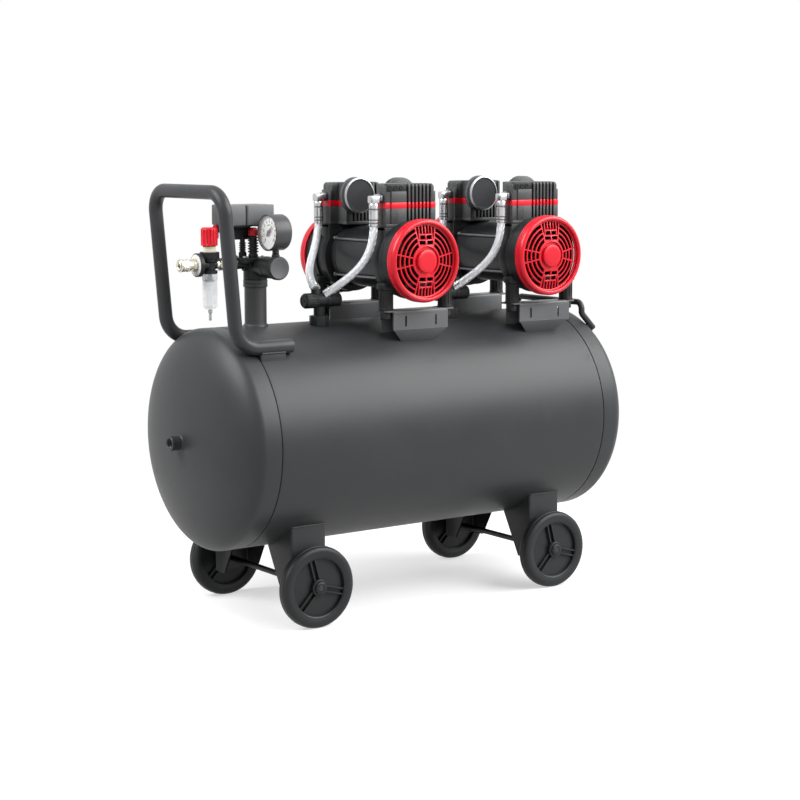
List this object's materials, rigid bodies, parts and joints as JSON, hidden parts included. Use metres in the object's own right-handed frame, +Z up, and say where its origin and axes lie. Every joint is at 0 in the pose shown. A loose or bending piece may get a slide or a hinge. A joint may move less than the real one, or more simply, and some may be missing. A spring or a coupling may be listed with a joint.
{
  "type": "air compressor",
  "caption": "Wheeled horizontal tank with two oil-free twin-cylinder pumps, red fan guards, tube handle, pressure switch, gauge, regulator and outlet filter with quick coupler.",
  "frame": {"origin": "on the floor under the middle of the tank", "axes": "+X along the tank, away from the handle; +Y towards the rear side; +Z up"},
  "size_m": [0.954, 0.4, 0.792],
  "materials": {
    "tank_coat": "satin dark grey powder coat",
    "grey_coat": "satin grey powder coat",
    "black_paint": "satin black paint on cast aluminium",
    "axle_steel": "zinc plated",
    "braid": "braided stainless wire",
    "brass": "pale nickel-plated brass",
    "black_plastic": "moulded matte black",
    "grey_plastic": "moulded matte grey",
    "wheel_plastic": "moulded dark grey",
    "red_plastic": "glossy moulded red",
    "rubber": "matte black",
    "clear_glass": "clear"
  },
  "bodies": {
    "compressor": {"tank_shell": "tank_coat", "tank_heads": "tank_coat", "end_ports": "tank_coat", "drain_valve": "brass", "legs": "tank_coat", "axles": "axle_steel", "wheel_clips": "black_plastic", "handle": "tank_coat", "grab_bar": "tank_coat", "standpipe": "black_paint", "manifold": "black_paint", "switch_base": "black_plastic", "switch_cover": "grey_plastic", "gauge_case": "black_plastic", "gauge_glass": "clear_glass", "safety_valve": "black_plastic", "filter_body": "black_plastic", "filter_bonnet": "black_plastic", "filter_bowl": "clear_glass", "filter_nipple": "brass", "coupler_body": "brass", "brackets_1": "grey_coat", "rubber_mounts_1": "rubber", "motor_case_1": "black_paint", "crankcases_1": "black_paint", "cylinders_1": "black_paint", "head_bands_1": "red_plastic", "cylinder_heads_1": "black_paint", "inlet_filters_1": "black_plastic", "fan_guards_1": "red_plastic", "hose_fittings_1": "axle_steel", "hoses_1": "braid", "check_valve_1": "black_paint", "brackets_2": "grey_coat", "rubber_mounts_2": "rubber", "motor_case_2": "black_paint", "crankcases_2": "black_paint", "cylinders_2": "black_paint", "head_bands_2": "red_plastic", "cylinder_heads_2": "black_paint", "inlet_filters_2": "black_plastic", "fan_guards_2": "red_plastic", "hose_fittings_2": "axle_steel", "hoses_2": "braid", "check_valve_2": "black_paint"},
    "wheel_front_left": {"wheel_front_left": "wheel_plastic"},
    "wheel_front_right": {"wheel_front_right": "wheel_plastic"},
    "wheel_rear_left": {"wheel_rear_left": "wheel_plastic"},
    "wheel_rear_right": {"wheel_rear_right": "wheel_plastic"},
    "rotor_1": {"rotor_shaft_1": "axle_steel", "fans_1": "black_plastic"},
    "rotor_2": {"rotor_shaft_2": "axle_steel", "fans_2": "black_plastic"},
    "switch_lever": {"switch_lever": "red_plastic"},
    "gauge_needle": {"gauge_needle": "black_plastic"},
    "regulator_knob": {"regulator_knob": "black_plastic"},
    "safety_cap": {"safety_cap": "red_plastic"},
    "filter_knob": {"filter_knob": "red_plastic"},
    "coupler_sleeve": {"coupler_sleeve": "brass"},
    "drain_tap": {"drain_tap": "red_plastic"}
  },
  "joints": [
    {"name": "wheel_front_left_roll", "type": "hinge", "parent": "compressor", "child": "wheel_front_left", "pos_m": [-0.273, -0.1585, 0.074], "axis": [0, 1, 0], "continuous": true},
    {"name": "wheel_rear_left_roll", "type": "hinge", "parent": "compressor", "child": "wheel_rear_left", "pos_m": [-0.273, 0.1585, 0.074], "axis": [0, 1, 0], "continuous": true},
    {"name": "wheel_front_right_roll", "type": "hinge", "parent": "compressor", "child": "wheel_front_right", "pos_m": [0.273, -0.1585, 0.074], "axis": [0, 1, 0], "continuous": true},
    {"name": "wheel_rear_right_roll", "type": "hinge", "parent": "compressor", "child": "wheel_rear_right", "pos_m": [0.273, 0.1585, 0.074], "axis": [0, 1, 0], "continuous": true},
    {"name": "rotor_1_spin", "type": "hinge", "parent": "compressor", "child": "rotor_1", "pos_m": [-0.027, 0, 0.643], "axis": [0, 1, 0], "continuous": true},
    {"name": "rotor_2_spin", "type": "hinge", "parent": "compressor", "child": "rotor_2", "pos_m": [0.269, 0, 0.643], "axis": [0, 1, 0], "continuous": true},
    {"name": "switch_lever_turn", "type": "hinge", "parent": "compressor", "child": "switch_lever", "pos_m": [-0.3685, 0.016, 0.704], "axis": [1, 0, 0], "range_deg": [-25, 25]},
    {"name": "gauge_needle_swing", "type": "hinge", "parent": "compressor", "child": "gauge_needle", "pos_m": [-0.305, -0.06, 0.6985], "axis": [1, 0, 0], "range_deg": [-180, 90]},
    {"name": "regulator_knob_turn", "type": "hinge", "parent": "compressor", "child": "regulator_knob", "pos_m": [-0.2965, -0.076, 0.636], "axis": [0, -1, 0], "range_deg": [-180, 180]},
    {"name": "safety_cap_pull", "type": "slide", "parent": "compressor", "child": "safety_cap", "axis": [0, 0, 1], "range_m": [0, 0.003], "stiffness_N_per_m": 400},
    {"name": "filter_knob_turn", "type": "hinge", "parent": "compressor", "child": "filter_knob", "pos_m": [-0.3905, 0, 0.692], "axis": [0, 0, 1], "range_deg": [-180, 180]},
    {"name": "coupler_sleeve_pull", "type": "slide", "parent": "compressor", "child": "coupler_sleeve", "axis": [1, 0, 0], "range_m": [0, 0.005], "stiffness_N_per_m": 400},
    {"name": "drain_tap_turn", "type": "hinge", "parent": "compressor", "child": "drain_tap", "pos_m": [-0.176, 0, 0.09], "axis": [0, 0, 1], "range_deg": [0, 90]}
  ]
}
